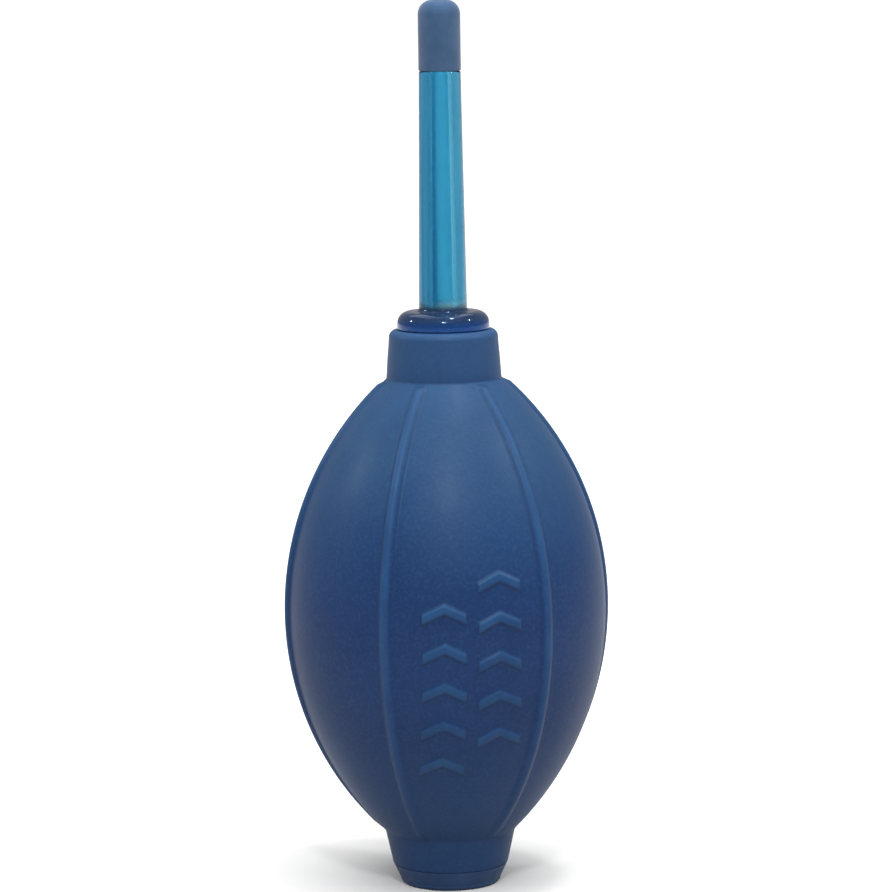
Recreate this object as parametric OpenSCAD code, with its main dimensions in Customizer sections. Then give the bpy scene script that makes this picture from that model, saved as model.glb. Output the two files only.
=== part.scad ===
// Dust blower bulb: a ribbed rubber bulb that stands on its tail, with a clear push-in nozzle on top.
// Squeezing the bulb drives air up through the outlet valve in the neck and out of the nozzle.
// Letting go draws clean air in through the base cap, the filter and the inlet valve in the tail.
// Millimetres, +Z up. The origin is the middle of the flat foot, and -Y is the side the thumb presses.

/* [Bulb] */
// Radius of the bulb at its widest point
bulb_r = 29.6; // [28.6:0.5:30.6]
// Height of the widest point above the foot
bulb_mid_z = 52; // [51.5:0.5:52.5]
// Radius of the arc that draws the bulb's side
bulb_arc_r = 59; // [58:0.5:60]
// Thickness of the rubber wall
wall = 2.2; // [1.8:0.1:2.4]
// How far the ribs stand proud at the widest point
rib_h = 0.9; // [0.6:0.1:1]
// Width of a rib
rib_w = 2.2; // [1.4:0.2:3]
// Number of ribs round the bulb, in opposite pairs
rib_count = 6; // [4:2:8]

/* [Neck and tail] */
// Height of the neck's top face
neck_top_z = 104.4; // [104:0.2:105]
// Radius of the neck just under its rounded rim
neck_top_r = 10.05; // [9.8:0.05:10.3]
// Radius of the hole through the neck
neck_bore_r = 7; // [6.9:0.05:7.1]
// Height of the seam between the tail and the base cap
seam_z = 3.8; // [3.6:0.1:4]
// Radius of the tail at the seam
seam_r = 10.8; // [10.4:0.1:11.2]
// Radius of the hole through the tail
tail_bore_r = 8; // [7.9:0.05:8.1]

/* [Press zones] */
// Width of the zone of the bulb's wall that a thumb or the fingers push in
press_w = 40; // [34:1:40]
// Height of the middle of the zone's lower round end
press_lo_z = 41; // [40:0.5:42]
// Height of the middle of the zone's upper round end
press_hi_z = 63; // [62:0.5:64]
// Gap cut round each zone
press_gap = 0.2; // [0.1:0.05:0.4]
// How far the grip marks stand proud of the front zone
mark_h = 0.4; // [0.2:0.1:0.6]

/* [Nozzle] */
// Height of the very top of the soft tip
total_h = 165; // [160:1:170]
// Radius of the nozzle's domed flange
flange_r = 8.6; // [8.2:0.1:8.8]
// Radius of the tube where it leaves the flange
tube_base_r = 4.45; // [4.3:0.05:4.7]
// Radius of the tube where it meets the soft tip
tube_top_r = 3.85; // [3.75:0.05:3.95]
// Radius of the soft tip
tip_r = 3.9; // [3.8:0.05:4.1]
// Radius of the air hole through the soft tip
jet_r = 1.25; // [0.8:0.05:1.35]
// Length of the soft tip
tip_len = 13; // [12:0.5:14]

/* [Valves] */
// How far the outlet flap lifts off its seat
outlet_lift = 1; // [0.6:0.1:1.2]
// How far the inlet flap lifts off its seat
inlet_lift = 1.2; // [0.6:0.1:1.4]

/* [Hidden] */
$fn = 96;
cut = 1;              // how far a cutting shape runs past the face it cuts
fit = 0.05;           // radial gap between a plug and its socket
stake_gap = 0.02;     // gap under a staked post's head and round a post

arc_x = bulb_r - bulb_arc_r;   // where the side arc's centre lies across the axis
rib_arc_r = bulb_arc_r - 1.2;  // the ribs' crests bow more than the side, so they fade towards the ends
rib_arc_x = bulb_r + rib_h - rib_arc_r;
rib_mid_z = bulb_mid_z + 0.2;  // and stay prouder at the neck than at the tail
side_lo_z = 7.5;            // the bulb's side starts inside the tail
side_hi_z = 97.5;           // and ends inside the neck
neck_root_z = 94;
neck_root_r = neck_top_r + 0.9;
neck_round = 1.4;
tail_top_z = 11;
tail_top_r = seam_r + 1.7;

// The neck's insert and the outlet valve in it
bush_r = neck_bore_r - fit;
bush_bore_r = 5;
bush_lo_z = 89;
bush_web_z = 90.4;             // underside of the ledge that the seat rests on
bush_hi_z = neck_top_z - 0.1;
ledge_t = 1.2;
outlet_seat_z = bush_web_z + ledge_t;
outlet_seat_t = 1.3;
outlet_flap_t = 0.5;
outlet_flap_r = 4.1;
outlet_post_r = 0.8;
washer_t = 0.5;

// The nozzle
spigot_lo_z = 95.6;
spigot_bore_r = 2;
flange_dome_r = 2.3;
flange_top_z = neck_top_z + 3.4;
tube_root = 0.7;
o_ring_z = 101.6;
o_ring_wire_r = 0.7;
groove_half = o_ring_wire_r + 0.1;
tip_lo_z = total_h - tip_len;
nipple_r = 2.9;
nipple_hi_z = total_h - 3.6;
tip_round = 2.6;

// The tail's insert and the inlet valve in it
housing_lo_z = seam_z + 0.2;
housing_hi_z = 14;
socket_r = 6.95;
socket_hi_z = 7;
pocket_r = 6.2;
inlet_seat_z = 8.4;
inlet_seat_t = 1.6;
inlet_flap_t = 0.6;
inlet_flap_r = 5.2;
inlet_post_r = 0.9;

// The base cap
foot_r = 9.4;
foot_round = 0.9;
foot_recess_r = 5.2;
foot_recess_d = 0.8;
cap_floor_z = 2.4;
cup_r = 5.5;
cup_hi_z = 6.6;
filter_t = 3;
grille_t = 0.8;

// ---------------------------------------------------------------- shared shapes

// Half outline of a lemon whose side is an arc of radius r, centred x across the axis at height z
module lemon_2d(x, z, r, lo_z = side_lo_z, hi_z = side_hi_z) {
    intersection() {
        translate([x, z]) circle(r = r);
        translate([0, lo_z]) square([x + r + cut, hi_z - lo_z]);
    }
}

// Half outline of the bulb's side, grown outwards by grow
module side_2d(grow, lo_z = side_lo_z, hi_z = side_hi_z) {
    lemon_2d(arc_x, bulb_mid_z, bulb_arc_r + grow, lo_z, hi_z);
}

// A ring of count copies at radius r
module ring(count, r) {
    for (i = [0 : count - 1]) rotate([0, 0, i * 360 / count]) translate([r, 0, 0]) children();
}

// A straight tube from lo to hi
module tube(r_out, r_in, lo, hi) {
    translate([0, 0, lo]) difference() {
        cylinder(r = r_out, h = hi - lo);
        translate([0, 0, -cut]) cylinder(r = r_in, h = hi - lo + 2 * cut);
    }
}

// A disc with a ring of ports and a middle post with a staked head: the fixed half of a flap valve
module valve_seat(r, z, t, port_r, ports, port_ring_r, post_r, head_z) {
    head_h = 0.5;
    head_lip = 0.4;
    difference() {
        translate([0, 0, z]) cylinder(r = r, h = t);
        translate([0, 0, z - cut]) ring(ports, port_ring_r) cylinder(r = port_r, h = t + 2 * cut);
    }
    translate([0, 0, z + t]) cylinder(r = post_r, h = head_z - z - t);
    translate([0, 0, head_z]) cylinder(r1 = post_r + head_lip, r2 = post_r, h = head_h);
}

// ---------------------------------------------------------------- rubber bulb

module neck_2d() {
    polygon([
        [0, neck_root_z], [neck_root_r, neck_root_z],
        [neck_top_r, neck_top_z - neck_round], [0, neck_top_z - neck_round]
    ]);
    translate([neck_top_r - neck_round, neck_top_z - neck_round]) circle(r = neck_round);
    translate([0, neck_top_z - neck_round]) square([neck_top_r - neck_round, neck_round]);
}

module tail_2d() {
    polygon([[0, seam_z], [seam_r, seam_z], [tail_top_r, tail_top_z], [0, tail_top_z]]);
}

module ribs() {
    slab = 2 * (bulb_r + 5);
    intersection() {
        rotate_extrude() lemon_2d(rib_arc_x, rib_mid_z, rib_arc_r);
        for (i = [0 : rib_count / 2 - 1]) rotate([0, 0, i * 360 / rib_count])
            translate([-slab / 2, -rib_w / 2, 0]) cube([slab, rib_w, total_h]);
    }
}

// The whole bulb as it is moulded, in one piece
module moulded_bulb() {
    difference() {
        union() {
            rotate_extrude() {
                side_2d(0);
                neck_2d();
                tail_2d();
            }
            ribs();
        }
        rotate_extrude() side_2d(-wall, lo_z = side_lo_z + 0.5, hi_z = side_hi_z - 0.5);
        translate([0, 0, neck_root_z]) cylinder(r = neck_bore_r, h = neck_top_z - neck_root_z + cut);
        translate([0, 0, seam_z - cut]) cylinder(r = tail_bore_r, h = tail_top_z - seam_z);
    }
}

// A round-ended prism from the axis out through the front wall
module press_prism(shrink) {
    r = press_w / 2 - shrink;
    reach = bulb_r + 5;
    for (z = [press_lo_z, press_hi_z]) translate([0, 0, z]) rotate([90, 0, 0]) cylinder(r = r, h = reach);
    translate([-r, -reach, press_lo_z]) cube([2 * r, reach, press_hi_z - press_lo_z]);
}

// One upward chevron, in the plane across the thumb's push
module chevron_2d() {
    half_w = 4.1;
    rise = 2;
    stroke = 2.1;
    polygon([
        [-half_w, 0], [0, rise], [half_w, 0],
        [half_w, stroke], [0, rise + stroke], [-half_w, stroke]
    ]);
}

// Two columns of raised chevrons that show which way the air goes
module grip_marks() {
    pitch = 7.2;
    columns = [[-4.4, 25], [5.7, 30.5]];     // across the front, and the lowest chevron's height
    intersection() {
        difference() {
            rotate_extrude() side_2d(mark_h);
            rotate_extrude() side_2d(-wall / 2);
        }
        for (c = columns, i = [0 : 4]) translate([c[0], 0, c[1] + i * pitch])
            rotate([90, 0, 0]) linear_extrude(bulb_r + 5) chevron_2d();
    }
}

module bulb_shell() {
    color([0.17, 0.27, 0.44]) difference() {
        moulded_bulb();
        press_prism(0);
        rotate([0, 0, 180]) press_prism(0);
    }
}

module bulb_front_wall() {
    color([0.18, 0.29, 0.46]) union() {
        intersection() {
            moulded_bulb();
            press_prism(press_gap);
        }
        grip_marks();
    }
}

module bulb_rear_wall() {
    color([0.18, 0.29, 0.46]) intersection() {
        moulded_bulb();
        rotate([0, 0, 180]) press_prism(press_gap);
    }
}

// ---------------------------------------------------------------- nozzle

module tip_sleeve() {
    shoulder_z = total_h - tip_round;
    color([0.26, 0.38, 0.52]) difference() {
        rotate_extrude() {
            translate([0, tip_lo_z + fit]) square([tip_r, shoulder_z - tip_lo_z - fit]);
            translate([0, shoulder_z]) square([tip_r - tip_round, tip_round]);
            intersection() {
                translate([tip_r - tip_round, shoulder_z]) circle(r = tip_round);
                translate([0, shoulder_z]) square([tip_r, tip_round]);
            }
        }
        translate([0, 0, tip_lo_z]) cylinder(r = nipple_r + fit, h = nipple_hi_z - tip_lo_z + fit);
        translate([0, 0, tip_lo_z]) cylinder(r = jet_r, h = tip_len + cut);
    }
}

module flange_2d() {
    shoulder_z = flange_top_z - flange_dome_r;
    translate([0, neck_top_z]) square([flange_r, shoulder_z - neck_top_z]);
    translate([0, neck_top_z]) square([flange_r - flange_dome_r, flange_top_z - neck_top_z]);
    intersection() {
        translate([flange_r - flange_dome_r, shoulder_z]) circle(r = flange_dome_r);
        translate([0, shoulder_z]) square([flange_r, flange_dome_r]);
    }
}

module nozzle() {
    color([0.15, 0.6, 0.78, 0.6]) difference() {
        union() {
            translate([0, 0, spigot_lo_z])
                cylinder(r = bush_bore_r - fit, h = neck_top_z - spigot_lo_z + cut);
            rotate_extrude() flange_2d();
            translate([0, 0, flange_top_z])
                cylinder(r1 = tube_base_r + tube_root, r2 = tube_base_r, h = tube_root);
            translate([0, 0, flange_top_z])
                cylinder(r1 = tube_base_r, r2 = tube_top_r, h = tip_lo_z - flange_top_z);
            translate([0, 0, tip_lo_z]) cylinder(r = nipple_r, h = nipple_hi_z - tip_lo_z);
        }
        nozzle_bore();
        tube(bush_bore_r + cut, bush_bore_r - 2 * o_ring_wire_r - fit,
             o_ring_z - groove_half, o_ring_z + groove_half);
    }
}

// The air passage narrows from the spigot to the nipple
module nozzle_bore() {
    exit_r = jet_r + 0.15;
    translate([0, 0, spigot_lo_z - cut]) cylinder(r = spigot_bore_r, h = flange_top_z - spigot_lo_z + cut);
    translate([0, 0, flange_top_z]) cylinder(r1 = spigot_bore_r, r2 = exit_r, h = nipple_hi_z - flange_top_z);
    translate([0, 0, nipple_hi_z]) cylinder(r = exit_r, h = cut);
}

module nozzle_o_ring() {
    color([0.06, 0.06, 0.07]) translate([0, 0, o_ring_z])
        rotate_extrude() translate([bush_bore_r - o_ring_wire_r - stake_gap, 0]) circle(r = o_ring_wire_r);
}

// ---------------------------------------------------------------- outlet valve, in the neck

module neck_bush() {
    barb_lo_z = 92.4;
    barb_hi_z = 94.4;
    barb_r = 8.1;
    below_neck_r = 6.3;
    color([0.85, 0.87, 0.88]) difference() {
        union() {
            translate([0, 0, bush_lo_z]) cylinder(r = below_neck_r, h = barb_hi_z - bush_lo_z);
            translate([0, 0, barb_lo_z]) cylinder(r1 = bush_r, r2 = barb_r, h = barb_hi_z - barb_lo_z);
            translate([0, 0, barb_hi_z]) cylinder(r = bush_r, h = bush_hi_z - barb_hi_z);
        }
        translate([0, 0, outlet_seat_z]) cylinder(r = bush_bore_r, h = bush_hi_z - outlet_seat_z + cut);
        translate([0, 0, bush_lo_z - cut]) cylinder(r = bush_bore_r - 1, h = bush_hi_z - bush_lo_z);
    }
}

outlet_flap_z = outlet_seat_z + outlet_seat_t;
outlet_washer_z = outlet_flap_z + outlet_flap_t + outlet_lift + stake_gap;

module outlet_valve_seat() {
    color([0.9, 0.91, 0.9])
        valve_seat(bush_bore_r - fit, outlet_seat_z, outlet_seat_t, port_r = 0.7, ports = 6,
                   port_ring_r = 2.8, post_r = outlet_post_r,
                   head_z = outlet_washer_z + washer_t + stake_gap);
}

module outlet_valve_flap() {
    color([0.93, 0.93, 0.9])
        tube(outlet_flap_r, outlet_post_r + 0.1, outlet_flap_z, outlet_flap_z + outlet_flap_t);
}

module outlet_flap_washer() {
    color([0.75, 0.77, 0.78])
        tube(1.8, outlet_post_r + stake_gap, outlet_washer_z, outlet_washer_z + washer_t);
}

// ---------------------------------------------------------------- inlet valve, in the tail

module inlet_valve_housing() {
    barb_z = 10;
    barb_r = 8.6;
    rim_r = 7.3;
    color([0.85, 0.87, 0.88]) difference() {
        union() {
            translate([0, 0, housing_lo_z]) cylinder(r = tail_bore_r - fit, h = barb_z - housing_lo_z);
            translate([0, 0, barb_z]) cylinder(r = barb_r, h = 0.6);
            translate([0, 0, barb_z + 0.6]) cylinder(r1 = barb_r, r2 = rim_r, h = 2);
            translate([0, 0, barb_z]) cylinder(r = rim_r, h = housing_hi_z - barb_z);
        }
        translate([0, 0, housing_lo_z - cut]) cylinder(r = socket_r, h = socket_hi_z - housing_lo_z + cut);
        translate([0, 0, housing_lo_z]) cylinder(r = pocket_r - 1.2, h = housing_hi_z);
        translate([0, 0, inlet_seat_z]) cylinder(r = pocket_r, h = housing_hi_z);
    }
}

inlet_flap_z = inlet_seat_z + inlet_seat_t;
inlet_washer_z = inlet_flap_z + inlet_flap_t + inlet_lift + stake_gap;

module inlet_valve_seat() {
    color([0.9, 0.91, 0.9])
        valve_seat(pocket_r - fit, inlet_seat_z, inlet_seat_t, port_r = 0.8, ports = 8,
                   port_ring_r = 3.4, post_r = inlet_post_r,
                   head_z = inlet_washer_z + washer_t + stake_gap);
}

module inlet_valve_flap() {
    color([0.93, 0.93, 0.9])
        tube(inlet_flap_r, inlet_post_r + 0.1, inlet_flap_z, inlet_flap_z + inlet_flap_t);
}

module inlet_flap_washer() {
    color([0.75, 0.77, 0.78])
        tube(2.1, inlet_post_r + stake_gap, inlet_washer_z, inlet_washer_z + washer_t);
}

// ---------------------------------------------------------------- base cap and filter

// An air hole up through the cap's floor, with a chamfered mouth
module air_hole() {
    hole_r = 0.8;
    chamfer = 0.3;
    cylinder(r = hole_r, h = seam_z);
    translate([0, 0, foot_recess_d - chamfer])
        cylinder(r1 = hole_r + 2 * chamfer, r2 = hole_r, h = 2 * chamfer);
}

module base_cap() {
    holes = 6;
    hole_ring_r = 2.9;
    color([0.18, 0.28, 0.42]) difference() {
        union() {
            rotate_extrude() {
                polygon([
                    [0, foot_round], [foot_r, foot_round],
                    [seam_r - fit, seam_z - fit], [0, seam_z - fit]
                ]);
                translate([foot_r - foot_round, foot_round]) circle(r = foot_round);
                square([foot_r - foot_round, foot_round]);
            }
            translate([0, 0, cap_floor_z]) cylinder(r = socket_r - fit, h = cup_hi_z - cap_floor_z);
        }
        translate([0, 0, -cut]) cylinder(r = foot_recess_r, h = foot_recess_d + cut);
        translate([0, 0, cap_floor_z]) cylinder(r = cup_r, h = cup_hi_z);
        air_hole();
        ring(holes, hole_ring_r) air_hole();
    }
}

module filter_disc() {
    color([0.92, 0.92, 0.88]) translate([0, 0, cap_floor_z + stake_gap])
        cylinder(r = cup_r - fit, h = filter_t);
}

module filter_grille() {
    lo = cap_floor_z + filter_t + 2 * stake_gap;
    hole_r = 0.55;
    pitch = 1.9;
    color([0.85, 0.87, 0.88]) difference() {
        translate([0, 0, lo]) cylinder(r = cup_r - fit, h = grille_t);
        translate([0, 0, lo - cut]) {
            cylinder(r = hole_r, h = grille_t + 2 * cut);
            for (k = [1, 2]) ring(6 * k, k * pitch) cylinder(r = hole_r, h = grille_t + 2 * cut);
        }
    }
}

// ---------------------------------------------------------------- nodes

bulb_shell();
bulb_front_wall();
bulb_rear_wall();
tip_sleeve();
nozzle();
nozzle_o_ring();
neck_bush();
outlet_valve_seat();
outlet_valve_flap();
outlet_flap_washer();
inlet_valve_housing();
inlet_valve_seat();
inlet_valve_flap();
inlet_flap_washer();
base_cap();
filter_disc();
filter_grille();
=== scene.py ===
import math

import bpy
import numpy as np
from mathutils import Matrix, Vector


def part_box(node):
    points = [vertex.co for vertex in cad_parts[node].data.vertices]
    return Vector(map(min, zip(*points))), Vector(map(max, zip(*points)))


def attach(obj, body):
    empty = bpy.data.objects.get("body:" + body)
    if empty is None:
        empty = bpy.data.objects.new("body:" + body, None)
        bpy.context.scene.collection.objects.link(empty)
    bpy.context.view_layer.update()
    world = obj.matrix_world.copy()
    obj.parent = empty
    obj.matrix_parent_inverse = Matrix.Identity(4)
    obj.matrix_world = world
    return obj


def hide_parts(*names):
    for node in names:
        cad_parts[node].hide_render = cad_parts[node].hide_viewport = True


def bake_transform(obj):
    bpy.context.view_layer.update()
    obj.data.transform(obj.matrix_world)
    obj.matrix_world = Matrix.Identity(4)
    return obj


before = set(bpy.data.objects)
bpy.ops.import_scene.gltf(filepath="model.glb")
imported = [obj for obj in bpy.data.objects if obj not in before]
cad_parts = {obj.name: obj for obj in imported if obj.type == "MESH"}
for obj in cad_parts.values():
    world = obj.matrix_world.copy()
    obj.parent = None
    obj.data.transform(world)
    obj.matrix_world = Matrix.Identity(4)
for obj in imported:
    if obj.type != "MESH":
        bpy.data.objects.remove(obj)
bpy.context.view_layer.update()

MM = 0.001


# ---------------------------------------------------------------- camera, floor and light

CAMERA_AZIMUTH = math.radians(-7.5)   # the photograph looks from a little to the left of the front
CAMERA_DISTANCE = 0.75
CAMERA_HEIGHT = 0.185
CAMERA_TARGET = Vector((0.0002, 0, 0.0825))
CAMERA_ROLL = math.radians(-0.8)
CAMERA_LENS = 164.4
SENSOR_WIDTH = 36
WORLD_STRENGTH = 0.4
FLOOR_HALF = 8.0
FLOOR_GREY = (0.42, 0.42, 0.42, 1)
LAMP_SIZE = 0.14                      # small softboxes make the round glints on the clear flange
LAMP_DISTANCE = 1.6


def aim(obj, target, roll=0.0):
    """Points a camera or a light at target, then rolls it about its line of sight."""
    direction = Vector(target) - obj.location
    turn = direction.to_track_quat("-Z", "Y").to_matrix()
    obj.rotation_euler = (turn @ Matrix.Rotation(roll, 3, "Z")).to_euler()


def add_camera():
    data = bpy.data.cameras.new("camera")
    data.lens = CAMERA_LENS
    data.sensor_width = SENSOR_WIDTH
    camera = bpy.data.objects.new("camera", data)
    bpy.context.scene.collection.objects.link(camera)
    camera.location = (CAMERA_DISTANCE * math.sin(CAMERA_AZIMUTH),
                       -CAMERA_DISTANCE * math.cos(CAMERA_AZIMUTH), CAMERA_HEIGHT)
    aim(camera, CAMERA_TARGET, CAMERA_ROLL)
    bpy.context.scene.camera = camera


def add_softbox(name, azimuth, elevation, power, distance=LAMP_DISTANCE, size=LAMP_SIZE):
    """A square area light; azimuth and elevation are degrees, counted as the camera's are."""
    target = Vector((0, 0, 0.08))
    data = bpy.data.lights.new(name, "AREA")
    data.shape = "SQUARE"
    data.size = size
    data.energy = power
    light = bpy.data.objects.new(name, data)
    bpy.context.scene.collection.objects.link(light)
    a, e = math.radians(azimuth), math.radians(elevation)
    offset = Vector((math.sin(a) * math.cos(e), -math.cos(a) * math.cos(e), math.sin(e)))
    light.location = target + distance * offset
    aim(light, target)


def add_sun(name, azimuth, elevation, spread, strength):
    """Even light from one direction, softened over spread degrees."""
    data = bpy.data.lights.new(name, "SUN")
    data.angle = math.radians(spread)
    data.energy = strength
    light = bpy.data.objects.new(name, data)
    bpy.context.scene.collection.objects.link(light)
    a, e = math.radians(azimuth), math.radians(elevation)
    light.location = (math.sin(a) * math.cos(e), -math.cos(a) * math.cos(e), math.sin(e))
    light.visible_glossy = False    # no reflection of it: only the softboxes, floor and world are mirrored
    aim(light, (0, 0, 0))


def add_world():
    world = bpy.data.worlds.new("studio")
    world.use_nodes = True
    background = world.node_tree.nodes["Background"]
    background.inputs["Color"].default_value = (1, 1, 1, 1)
    background.inputs["Strength"].default_value = WORLD_STRENGTH
    bpy.context.scene.world = world


def add_floor():
    mesh = bpy.data.meshes.new("floor")
    corners = [(FLOOR_HALF * x, FLOOR_HALF * y, 0) for x, y in ((-1, -1), (1, -1), (1, 1), (-1, 1))]
    mesh.from_pydata(corners, [], [(0, 1, 2, 3)])
    floor = bpy.data.objects.new("floor", mesh)
    bpy.context.scene.collection.objects.link(floor)
    look = bpy.data.materials.new("floor_paper")
    look.use_nodes = True
    shader = look.node_tree.nodes["Principled BSDF"]
    shader.inputs["Base Color"].default_value = FLOOR_GREY
    shader.inputs["Roughness"].default_value = 0.9
    shader.inputs["Specular IOR Level"].default_value = 0.1
    mesh.materials.append(look)


add_camera()
add_world()
add_floor()
add_sun("ceiling", azimuth=-3, elevation=74, spread=70, strength=7.1)
add_softbox("overhead", azimuth=180, elevation=65, power=22, distance=2.4, size=2.2)
add_softbox("front_lamp", azimuth=-5, elevation=42, power=11)
add_softbox("high_lamp", azimuth=61, elevation=77, power=8)
add_softbox("right_lamp", azimuth=79, elevation=43, power=9)
add_softbox("left_lamp", azimuth=-105, elevation=30, power=6)
bpy.context.scene.view_settings.view_transform = "Standard"


# ---------------------------------------------------------------- materials


def add_node(tree, kind, inputs=None, **settings):
    """A shader node; inputs maps a socket's name or number to a value or to the socket that feeds it."""
    node = tree.nodes.new(kind)
    for name, value in settings.items():
        setattr(node, name, value)
    for name, value in (inputs or {}).items():
        if isinstance(value, bpy.types.NodeSocket):
            tree.links.new(value, node.inputs[name])
        else:
            node.inputs[name].default_value = value
    return node


class Finish:
    """A Principled material with short calls for the patterns that drive it."""

    def __init__(self, name, **sockets):
        self.material = bpy.data.materials.new(name)
        self.material.use_nodes = True
        self.tree = self.material.node_tree
        self.shader = self.tree.nodes["Principled BSDF"]
        where = add_node(self.tree, "ShaderNodeTexCoord")
        self.place, self.facing = where.outputs["Object"], where.outputs["Normal"]
        for socket, value in sockets.items():
            self.shader.inputs[socket.replace("_", " ")].default_value = value

    def noise(self, size, detail=3.0, roughness=0.5, stretch=(1, 1, 1)):
        """Soft noise from 0 to 1, with features of about size metres."""
        place = self.place
        if stretch != (1, 1, 1):
            place = add_node(self.tree, "ShaderNodeMapping",
                             {"Vector": place, "Scale": stretch}).outputs[0]
        return add_node(self.tree, "ShaderNodeTexNoise",
                        {"Vector": place, "Scale": 1 / size, "Detail": detail,
                         "Roughness": roughness}).outputs[0]

    def spots(self, size, radius, share):
        """1 inside small round spots, 0 outside: cells of size metres, of which share hold a spot."""
        cells = add_node(self.tree, "ShaderNodeTexVoronoi",
                         {"Vector": self.place, "Scale": 1 / size, "Randomness": 1.0})
        inside = self.ramp(cells.outputs["Distance"], radius, radius * 0.6)
        pick = add_node(self.tree, "ShaderNodeSeparateColor", {0: cells.outputs["Color"]}).outputs[0]
        return self.multiply(inside, self.ramp(pick, share, share * 0.98))

    def facing_up(self):
        """1 where the surface faces up, 0 where it is upright and -1 underneath."""
        return add_node(self.tree, "ShaderNodeSeparateXYZ", {0: self.facing}).outputs["Z"]

    def height(self):
        """Z in metres."""
        return add_node(self.tree, "ShaderNodeSeparateXYZ", {0: self.place}).outputs["Z"]

    def sideways(self):
        """X in metres."""
        return add_node(self.tree, "ShaderNodeSeparateXYZ", {0: self.place}).outputs["X"]

    def attribute(self, name):
        return add_node(self.tree, "ShaderNodeAttribute", attribute_name=name).outputs["Fac"]

    def ramp(self, value, low, high, to_low=0.0, to_high=1.0):
        """value from low to high becomes to_low to to_high, smoothly, and stays within them."""
        return add_node(self.tree, "ShaderNodeMapRange",
                        {"Value": value, "From Min": low, "From Max": high,
                         "To Min": to_low, "To Max": to_high},
                        interpolation_type="SMOOTHSTEP").outputs[0]

    def multiply(self, a, b):
        return add_node(self.tree, "ShaderNodeMath", {0: a, 1: b}, operation="MULTIPLY").outputs[0]

    def add(self, a, b):
        return add_node(self.tree, "ShaderNodeMath", {0: a, 1: b}, operation="ADD").outputs[0]

    def mix(self, share, a, b):
        """Colour a where share is 0, colour b where it is 1."""
        a = a if isinstance(a, bpy.types.NodeSocket) else (*a, 1)
        b = b if isinstance(b, bpy.types.NodeSocket) else (*b, 1)
        return add_node(self.tree, "ShaderNodeMix", {0: share, 6: a, 7: b}, data_type="RGBA").outputs[2]

    def colour(self, socket):
        self.tree.links.new(socket, self.shader.inputs["Base Color"])

    def roughness(self, socket):
        self.tree.links.new(socket, self.shader.inputs["Roughness"])

    def bump(self, height, depth):
        """Bumps of height 0 to 1, depth metres deep."""
        bump = add_node(self.tree, "ShaderNodeBump", {"Height": height, "Distance": depth})
        self.tree.links.new(bump.outputs[0], self.shader.inputs["Normal"])


def bulb_rubber():
    """Blue moulded rubber: satin and faintly mottled; where it faces up it is dusty, with painted light from
    above.

    The neck and tail are paler, partly a pale bloom and partly painted light, fine grain and small stains
    lie all over, and the ribs and marks are worn paler, with a shaded line along their feet.
    """
    f = Finish("bulb_rubber", Specular_IOR_Level=0.1, Sheen_Weight=0.02, Sheen_Roughness=0.4,
               Sheen_Tint=(0.6, 0.72, 0.9, 1), Coat_Weight=0.05, Coat_Roughness=0.33)
    mottle = f.ramp(f.noise(0.022, detail=4), 0.35, 0.68)
    colour = f.mix(mottle, (0.0030, 0.0152, 0.057), (0.0040, 0.0182, 0.065))
    # faces that look up are painted paler: partly dust, partly painted light from above
    dust_and_top_light = f.multiply(f.ramp(f.facing_up(), 0.0, 0.6), f.ramp(f.noise(0.015), 0.25, 0.7, 0.7, 1.0))
    colour = f.mix(dust_and_top_light, colour, (0.0094, 0.031, 0.073))
    # paler towards the neck and tail: partly a pale bloom, partly painted light that brightens them
    neck_bloom_and_light = f.ramp(f.height(), 0.088, 0.1)
    tail_bloom_and_light = f.ramp(f.height(), 0.036, 0.012, 0.0, 0.55)
    ends = f.add(neck_bloom_and_light, tail_bloom_and_light)
    colour = f.mix(f.multiply(ends, 0.8), colour, (0.0125, 0.038, 0.092))
    grain = f.ramp(f.noise(0.0006, detail=2), 0.4, 0.75)
    colour = f.mix(f.multiply(grain, 0.2), colour, (0.019, 0.05, 0.115))
    stains = f.ramp(f.noise(0.0019, detail=2), 0.5, 0.7)
    colour = f.mix(f.multiply(stains, 0.12), colour, (0.0035, 0.014, 0.05))
    wear = f.ramp(f.noise(0.006), 0.3, 0.7, 0.35, 0.7)
    handled = f.multiply(f.ramp(f.attribute("raised"), 0.3, 1.0), wear)
    colour = f.mix(handled, colour, (0.0095, 0.041, 0.105))
    shade = f.multiply(f.ramp(f.attribute("foot"), 0.2, 1.0), 0.35)
    colour = f.mix(shade, colour, (0.003, 0.014, 0.042))
    specks = f.multiply(f.spots(0.011, 0.035, 0.22), 0.6)
    f.colour(f.mix(specks, colour, (0.12, 0.16, 0.23)))
    f.roughness(f.ramp(f.noise(0.03, detail=2), 0.3, 0.7, 0.5, 0.56))
    f.bump(f.add(f.multiply(f.noise(0.0006, detail=2), 0.6), f.noise(0.003, detail=3)), 0.00004)
    return f.material


def tip_rubber():
    """Soft slate-blue rubber, matte, with a powdery bloom."""
    f = Finish("tip_rubber", Specular_IOR_Level=0.25, Sheen_Weight=0.1, Sheen_Roughness=0.5)
    bloom = f.ramp(f.noise(0.0035, detail=4), 0.35, 0.7)
    colour = f.mix(bloom, (0.0145, 0.04, 0.088), (0.021, 0.049, 0.1))
    f.colour(f.mix(f.multiply(f.spots(0.0022, 0.06, 0.15), 0.5), colour, (0.18, 0.24, 0.32)))
    f.roughness(f.ramp(f.noise(0.002), 0.3, 0.7, 0.6, 0.72))
    f.bump(f.noise(0.0004, detail=3), 0.00004)
    return f.material


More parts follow.
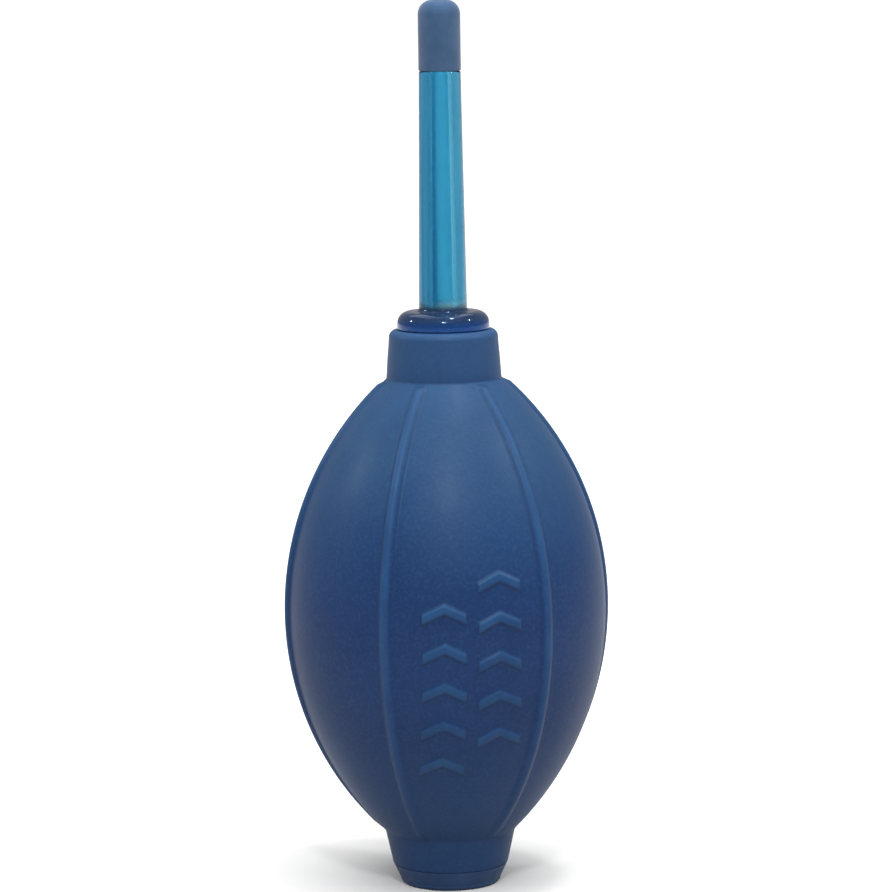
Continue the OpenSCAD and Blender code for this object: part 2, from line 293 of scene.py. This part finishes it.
def nozzle_plastic(flange_low, flange_high):
    """Clear blue styrene, polished, cloudier and deeper blue in the flange.

    Faint flow lines run along the tube, and darker streaks on its -X side are painted shade. The flange is
    painted bluest below the height flange_low, a painted glow of light passing through its rim, and its
    colour gives way to the tube's above flange_high.
    """
    f = Finish("nozzle_plastic", IOR=1.5, Specular_IOR_Level=0.35, Specular_Tint=(0.35, 0.55, 1.0, 1))
    flow = f.ramp(f.noise(0.0016, detail=3, stretch=(1, 1, 0.05)), 0.3, 0.7)
    tube = f.mix(flow, (0.24, 0.63, 0.77), (0.36, 0.77, 0.87))
    streaks = f.ramp(f.noise(0.0009, detail=2, stretch=(1, 1, 0.02)), 0.35, 0.65, 0.6, 1.0)
    # darker streaks on the -X side only: painted shade on that side of the tube
    painted_shade_side = f.multiply(f.ramp(f.sideways(), -0.0006, -0.0022), streaks)
    tube = f.mix(painted_shade_side, tube, (0.06, 0.33, 0.5))
    above = f.ramp(f.height(), flange_high, flange_high + 0.0013)
    # bright saturated blue low on the flange is a painted glow of light through its rim; higher up it is
    # darker and greyer
    flange = f.mix(f.ramp(f.height(), flange_low - 0.0002, flange_low + 0.002),
                   (0.007, 0.072, 0.31), (0.024, 0.056, 0.14))
    f.colour(f.mix(above, flange, tube))
    clear = f.ramp(f.height(), flange_low, flange_high, 0.68, 0.8)
    clearing = f.ramp(f.height(), flange_high, flange_high + 0.0028)
    f.tree.links.new(f.ramp(clearing, 0.0, 1.0, clear, 1.0), f.shader.inputs["Transmission Weight"])
    tint = add_node(f.tree, "ShaderNodeVolumeAbsorption",
                    {"Color": (0.17, 0.51, 0.64, 1), "Density": 350.0})
    f.tree.links.new(tint.outputs[0], f.tree.nodes["Material Output"].inputs["Volume"])
    f.roughness(f.ramp(f.noise(0.003), 0.3, 0.7, 0.05, 0.11))
    f.bump(f.noise(0.0025, detail=2, stretch=(1, 1, 0.15)), 0.00002)
    return f.material


def moulded_plastic(name, colour, pale, rough=0.45):
    """Plain moulded plastic: faint cloudiness, fine grain and small scuffs."""
    f = Finish(name, Specular_IOR_Level=0.3)
    cloud = f.ramp(f.noise(0.003, detail=4), 0.35, 0.7)
    base = f.mix(f.multiply(cloud, 0.6), colour, pale)
    f.colour(f.mix(f.multiply(f.spots(0.002, 0.08, 0.2), 0.4), base, pale))
    f.roughness(f.ramp(f.noise(0.0015), 0.3, 0.7, rough - 0.08, rough + 0.08))
    f.bump(f.noise(0.0004, detail=3), 0.00003)
    return f.material


def flap_silicone():
    f = Finish("flap_silicone", Specular_IOR_Level=0.4, Subsurface_Weight=0.2, Subsurface_Scale=0.0008)
    f.colour(f.mix(f.ramp(f.noise(0.0015), 0.35, 0.7), (0.62, 0.62, 0.56), (0.72, 0.72, 0.67)))
    f.roughness(f.ramp(f.noise(0.001), 0.3, 0.7, 0.35, 0.5))
    f.bump(f.noise(0.0005, detail=2), 0.00003)
    return f.material


def filter_felt():
    """Needled felt: short tangled fibres."""
    f = Finish("filter_felt", Sheen_Weight=0.4, Sheen_Roughness=0.6, Specular_IOR_Level=0.1)
    along = f.noise(0.0007, detail=5, stretch=(1, 5, 2))
    across = f.noise(0.0007, detail=5, stretch=(5, 1, 2))
    fibres = f.multiply(f.ramp(along, 0.3, 0.7), f.ramp(across, 0.3, 0.7))
    f.colour(f.mix(fibres, (0.45, 0.44, 0.4), (0.85, 0.84, 0.78)))
    f.roughness(f.ramp(fibres, 0, 1, 0.95, 0.8))
    f.bump(fibres, 0.0003)
    return f.material


def seal_rubber():
    f = Finish("seal_rubber", Specular_IOR_Level=0.5)
    f.colour(f.mix(f.ramp(f.noise(0.001), 0.4, 0.7), (0.012, 0.012, 0.013), (0.025, 0.025, 0.026)))
    f.roughness(f.ramp(f.noise(0.0008), 0.3, 0.7, 0.3, 0.45))
    f.bump(f.noise(0.0003), 0.00002)
    return f.material


rubber = bulb_rubber()
finishes = {
    "base_cap": moulded_plastic("cap_plastic", (0.0055, 0.026, 0.08), (0.009, 0.036, 0.1), rough=0.55),
    "nozzle_o_ring": seal_rubber(),
    "filter_disc": filter_felt(),
}
milky = moulded_plastic("valve_plastic", (0.68, 0.71, 0.71), (0.8, 0.82, 0.82), rough=0.35)
for node in ("neck_bush", "outlet_valve_seat", "outlet_flap_washer", "inlet_valve_housing",
             "inlet_valve_seat", "inlet_flap_washer", "filter_grille"):
    finishes[node] = milky
silicone = flap_silicone()
for node in ("outlet_valve_flap", "inlet_valve_flap"):
    finishes[node] = silicone
for node, finish in finishes.items():
    for material_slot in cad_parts[node].material_slots:
        material_slot.material = finish


# ---------------------------------------------------------------- mesh helpers


def rounded(corners, steps=6):
    """The closed outline through corners (r, z, fillet radius), each fillet an arc in steps pieces."""
    outline = []
    for i, (r, z, radius) in enumerate(corners):
        here = np.array((r, z))
        before = np.array(corners[i - 1][:2]) - here
        after = np.array(corners[(i + 1) % len(corners)][:2]) - here
        if radius == 0:
            outline.append(here)
            continue
        before /= np.linalg.norm(before)
        after /= np.linalg.norm(after)
        half = math.acos(np.clip(before @ after, -1, 1)) / 2
        reach = radius / math.tan(half)
        middle = (before + after) / np.linalg.norm(before + after)
        centre = here + middle * radius / math.sin(half)
        first = here + before * reach - centre
        last = here + after * reach - centre
        for k in range(steps + 1):
            t = k / steps
            sweep = math.pi - 2 * half
            spoke = (math.sin((1 - t) * sweep) * first + math.sin(t * sweep) * last) / math.sin(sweep)
            outline.append(centre + spoke)
    return np.array(outline)


def mesh_object(name, points, faces, material):
    mesh = bpy.data.meshes.new(name)
    mesh.from_pydata(points.tolist(), [], faces)
    mesh.materials.append(material)
    mesh.polygons.foreach_set("use_smooth", [True] * len(mesh.polygons))
    mesh.update()
    obj = bpy.data.objects.new(name, mesh)
    bpy.context.scene.collection.objects.link(obj)
    return obj


def lathe(name, outline, material, segments=144):
    """A closed solid of revolution about Z from a closed outline of (r, z) in millimetres."""
    turns = np.arange(segments) * 2 * math.pi / segments
    r, z = outline[:, :1] * MM, outline[:, 1:] * MM
    points = np.stack([r * np.cos(turns), r * np.sin(turns), z + 0 * turns], axis=-1)
    rows = len(outline)
    faces = []
    for i in range(rows):
        for j in range(segments):
            a, b = i * segments, ((i + 1) % rows) * segments
            k = (j + 1) % segments
            faces.append((a + j, a + k, b + k, b + j))
    return mesh_object(name, points.reshape(-1, 3), faces, material)


def smoothstep(low, high, value):
    t = np.clip((value - low) / (high - low), 0, 1)
    return t * t * (3 - 2 * t)


# ---------------------------------------------------------------- rubber bulb
# One moulded skin, made as a front and a rear half that meet inside the two side ribs.

shell_low, shell_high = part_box("bulb_shell")
BULB_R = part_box("bulb_rear_wall")[1].y / MM
RIB_H = shell_high.x / MM - BULB_R
MARK_H = -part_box("bulb_front_wall")[0].y / MM - BULB_R
SEAM_Z = shell_low.z / MM
NECK_TOP_Z = shell_high.z / MM
ARC_R = 59.0                    # radius of the arc that draws the bulb's side
ARC_X = BULB_R - ARC_R
MID_Z = 52.0
WALL = 2.2
SEAM_R = 10.8
TAIL_R = 12.2                   # the tail and the neck leave the side arc at these radii
NECK_R = 10.7
NECK_TOP_R = 10.05
TAIL_BORE_R = 8.0
NECK_BORE_R = 7.0
RIBS = 6
RIB_ARC_R = ARC_R - 1.2         # the ribs' crests bow more than the side, so they fade towards the ends
RIB_MID_Z = MID_Z + 0.2         # and stay prouder at the neck than at the tail
RIB_LEAST_H = 0.32
RIB_LOW_Z = 10.5                # the ribs stand out between these heights
RIB_HIGH_Z = 95.2
RIB_LOW_RUN = 2.0               # and fade to nothing over these lengths inside them
RIB_HIGH_RUN = 1.0
RIB_HALF_SLIM = 1.4             # half a rib's width with its soft foot, where the bulb is slimmest
RIB_HALF_FULL = 1.5             # and where it is widest
RIB_COLUMNS = 15
PANEL_COLUMNS = 22
MARKED_PANEL = 4                # the panel that faces -Y, which has the marks and so finer columns
MARKED_PANEL_COLUMNS = 84
MARK_COLUMNS = ((-4.4, 25.0), (5.7, 30.5))     # each column's x, and the height of its lowest mark
MARK_PITCH = 7.2
MARKS = 5
MARK_HALF = 4.1
MARK_RISE = 2.0
MARK_STROKE = 2.1


def arc_point(z, grow=0.0):
    return (ARC_X + math.sqrt((ARC_R + grow) ** 2 - (z - MID_Z) ** 2), z)


def arc_height(r, grow=0.0, above=True):
    """Where the side arc, grown outwards by grow, has radius r."""
    rise = math.sqrt((ARC_R + grow) ** 2 - (r - ARC_X) ** 2)
    return MID_Z + rise if above else MID_Z - rise


def bulb_outline():
    """The skin's closed outline, from the foot of the tail up the outside and down the inside."""
    tail_z = arc_height(TAIL_R, above=False)
    neck_z = arc_height(NECK_R)
    marked_low, marked_high = 23.5, 65.0
    coarse = 1.0
    fine = 0.3                  # close rows where the raised marks are
    inner = 2.5                 # wide rows down the smooth inside
    corner_room = 2.0           # rows keep this far from a rounded corner
    lower = np.arange(tail_z + corner_room, marked_low, coarse)
    marked = np.arange(marked_low, marked_high, fine)
    upper = np.arange(marked_high, neck_z - 0.8, coarse)
    side = [(*arc_point(z), 0) for z in np.concatenate([lower, marked, upper])]
    tail = [(SEAM_R, SEAM_Z, 0.25), (TAIL_R, tail_z, 1.6)]
    neck = [(NECK_R, neck_z, 0.8), (10.45, 99.0, 0), (10.22, 101.5, 0),
            (NECK_TOP_R, NECK_TOP_Z, 1.4), (NECK_BORE_R, NECK_TOP_Z, 0.4)]
    inner_top = arc_height(NECK_BORE_R, -WALL)
    inner_low = arc_height(TAIL_BORE_R, -WALL, above=False)
    inner_z = np.arange(inner_top - corner_room, inner_low + corner_room, -inner)
    inside = [(*arc_point(z, -WALL), 0) for z in inner_z]
    neck_bore = [(NECK_BORE_R, inner_top, 0.5)]
    tail_bore = [(TAIL_BORE_R, inner_low, 0.5), (TAIL_BORE_R, SEAM_Z, 0.25)]
    return rounded(tail + side + neck + neck_bore + inside + tail_bore)


def column_plan():
    """Each column of the skin: its rib, its place across the rib, and its share of the next panel."""
    across_rib = np.linspace(-1, 1, RIB_COLUMNS)
    plan = []
    for rib in range(RIBS):
        plan += [(rib, a, 0.0) for a in across_rib]
        columns = MARKED_PANEL_COLUMNS if rib == MARKED_PANEL else PANEL_COLUMNS
        plan += [(rib, 1.0, t) for t in np.arange(1, columns) / columns]
    return np.array(plan)


def chevron_height(x, z):
    """How far the marks stand at (x, z), in millimetres: columns of chevrons that point up."""
    soft = 0.34                 # their edges slope over about this width
    tilt = math.cos(math.atan(MARK_RISE / MARK_HALF))
    height = np.zeros_like(x)
    for middle, lowest in MARK_COLUMNS:
        for k in range(MARKS):
            off = np.abs(x - middle)
            under = lowest + k * MARK_PITCH + MARK_RISE * (1 - off / MARK_HALF)
            inside = np.minimum((z - under) * tilt, (under + MARK_STROKE - z) * tilt)
            inside = np.minimum(inside, MARK_HALF - off)
            height = np.maximum(height, MARK_H * smoothstep(-soft * 0.4, soft * 1.2, inside))
    return height


def bulb_skin():
    """Grids over the skin, rows along the outline and columns round it.

    They hold the points, the normals, and two masks: raised is 1 on the crests of the ribs and marks, and
    foot is 1 along their sloping edges.
    """
    outline = bulb_outline()
    plan = column_plan()
    along = np.roll(outline, -1, 0) - np.roll(outline, 1, 0)
    along /= np.linalg.norm(along, axis=1)[:, None]
    out_r, out_z = along[:, 1:], -along[:, :1]
    r, z = outline[:, :1], outline[:, 1:]
    outside = (out_r > 0.2) & (r > SEAM_R - 0.5)
    rib, across, share = plan[:, 0], plan[:, 1], plan[:, 2]
    pitch = 2 * math.pi / RIBS
    half = (RIB_HALF_SLIM + (RIB_HALF_FULL - RIB_HALF_SLIM) * smoothstep(SEAM_R, BULB_R, r)) / r
    angle = rib * pitch + across * half + share * (pitch - 2 * half)
    on_rib = np.where(share == 0, np.abs(across), 1.0)
    risen = smoothstep(RIB_LOW_Z, RIB_LOW_Z + RIB_LOW_RUN, z)
    fallen = smoothstep(RIB_HIGH_Z - RIB_HIGH_RUN, RIB_HIGH_Z, z)
    bow = np.sqrt(RIB_ARC_R ** 2 - (z - RIB_MID_Z) ** 2) - RIB_ARC_R + RIB_H
    crest_h = np.maximum(bow - np.sqrt(ARC_R ** 2 - (z - MID_Z) ** 2) + ARC_R, RIB_LEAST_H)
    crest = np.cos(math.pi / 2 * on_rib) ** 1.2
    rib_height = np.where(outside, crest_h * crest * (risen * (1 - fallen)), 0)
    x = r * np.cos(angle)
    y = r * np.sin(angle)
    marks = np.where(outside & (y < 0), chevron_height(x, z + 0 * x), 0)
    lift = rib_height + marks
    reach = r + out_r * lift
    points = np.stack([reach * np.cos(angle), reach * np.sin(angle), z + out_z * lift], axis=-1) * MM
    step_up = np.roll(points, -1, 0) - np.roll(points, 1, 0)
    step_round = np.roll(points, -1, 1) - np.roll(points, 1, 1)
    normals = np.cross(step_round, step_up)
    normals /= np.linalg.norm(normals, axis=2)[..., None]
    raised = np.maximum(rib_height / RIB_H, marks / MARK_H)
    slope = np.maximum(np.abs(np.gradient(raised, axis=0)), np.abs(np.gradient(raised, axis=1)))
    foot = np.clip(slope * 4, 0, 1) * (1 - raised)
    return points, normals, raised, foot


def bulb_half(name, skin, columns):
    """One half of the skin: the given run of columns, open at both ends, where the other half carries on."""
    points, normals, raised, foot = (grid[:, columns] for grid in skin)
    rows, across = points.shape[:2]
    faces = []
    for i in range(rows):
        a, b = i * across, ((i + 1) % rows) * across
        for j in range(across - 1):
            faces.append((a + j, a + j + 1, b + j + 1, b + j))
    half = mesh_object(name, points.reshape(-1, 3), faces, rubber)
    for label, grid in (("raised", raised), ("foot", foot)):
        values = half.data.attributes.new(label, "FLOAT", "POINT")
        values.data.foreach_set("value", grid.reshape(-1).astype(np.float32))
    half.data.normals_split_custom_set_from_vertices(normals.reshape(-1, 3).tolist())
    return half


def build_bulb():
    skin = bulb_skin()
    plan = column_plan()
    count = len(plan)
    crests = [k for k in range(count) if plan[k, 2] == 0 and plan[k, 1] == 0]
    right, left = crests[0], crests[RIBS // 2]      # the side ribs' crests, at +X and -X
    rear = bulb_half("bulb_rear", skin, list(range(right, left + 1)))
    front = bulb_half("bulb_front", skin, list(range(left, count)) + list(range(right + 1)))
    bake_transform(front)
    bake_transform(rear)
    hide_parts("bulb_shell", "bulb_front_wall")
    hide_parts("bulb_shell", "bulb_rear_wall")


build_bulb()


# ---------------------------------------------------------------- nozzle and tip


nozzle_low, nozzle_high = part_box("nozzle")
tip_low, tip_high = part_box("tip_sleeve")
ring_low, ring_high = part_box("nozzle_o_ring")
FIT = 0.05                      # the tip's clearance on the nipple and on the tube's step
SPIGOT_Z = nozzle_low.z / MM
GROOVE_Z = (ring_low.z + ring_high.z) / 2 / MM
GROOVE_HALF = 0.8
FLANGE_Z = NECK_TOP_Z + 3.4
FLANGE_R = nozzle_high.x / MM
STEP_Z = tip_low.z / MM - FIT   # the tube ends in a step, and the nipple stands on it
NIPPLE_Z = nozzle_high.z / MM
TIP_Z = tip_high.z / MM
TIP_R = tip_high.x / MM
SPIGOT_R = 4.95
SPIGOT_BORE_R = 2.0
GROOVE_R = 3.55
TUBE_R = 4.45
TUBE_TOP_R = 3.85
NIPPLE_R = 2.9
NIPPLE_BORE_R = 1.4
JET_R = 1.25


def build_nozzle():
    outline = rounded([
        (SPIGOT_BORE_R, SPIGOT_Z, 0.3), (SPIGOT_R, SPIGOT_Z, 0.5),
        (SPIGOT_R, GROOVE_Z - GROOVE_HALF, 0.1), (GROOVE_R, GROOVE_Z - GROOVE_HALF, 0.1),
        (GROOVE_R, GROOVE_Z + GROOVE_HALF, 0.1), (SPIGOT_R, GROOVE_Z + GROOVE_HALF, 0.1),
        (SPIGOT_R, NECK_TOP_Z, 0.15), (FLANGE_R, NECK_TOP_Z, 0.3),
        (FLANGE_R, FLANGE_Z, 2.3), (TUBE_R + 0.05, FLANGE_Z, 0.7),
        (TUBE_TOP_R, STEP_Z, 0.35), (NIPPLE_R, STEP_Z, 0.1),
        (NIPPLE_R, NIPPLE_Z, 0.4), (NIPPLE_BORE_R, NIPPLE_Z, 0.2),
    ])
    flange_low = (FLANGE_Z - 2.8) * MM
    flange_high = (FLANGE_Z + 0.3) * MM
    nozzle = lathe("clear_nozzle", outline, nozzle_plastic(flange_low, flange_high))
    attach(nozzle, "nozzle")
    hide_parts("nozzle")


def build_tip():
    outline = rounded([
        (NIPPLE_R + FIT, STEP_Z + FIT, 0.15), (TIP_R, STEP_Z + FIT, 0.2),
        (TIP_R, TIP_Z, 2.6), (JET_R, TIP_Z, 0.2),
        (JET_R, NIPPLE_Z + FIT, 0.1), (NIPPLE_R + FIT, NIPPLE_Z + FIT, 0.3),
    ], steps=8)
    tip = lathe("soft_tip", outline, tip_rubber())
    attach(tip, "tip")
    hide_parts("tip_sleeve")


build_nozzle()
build_tip()
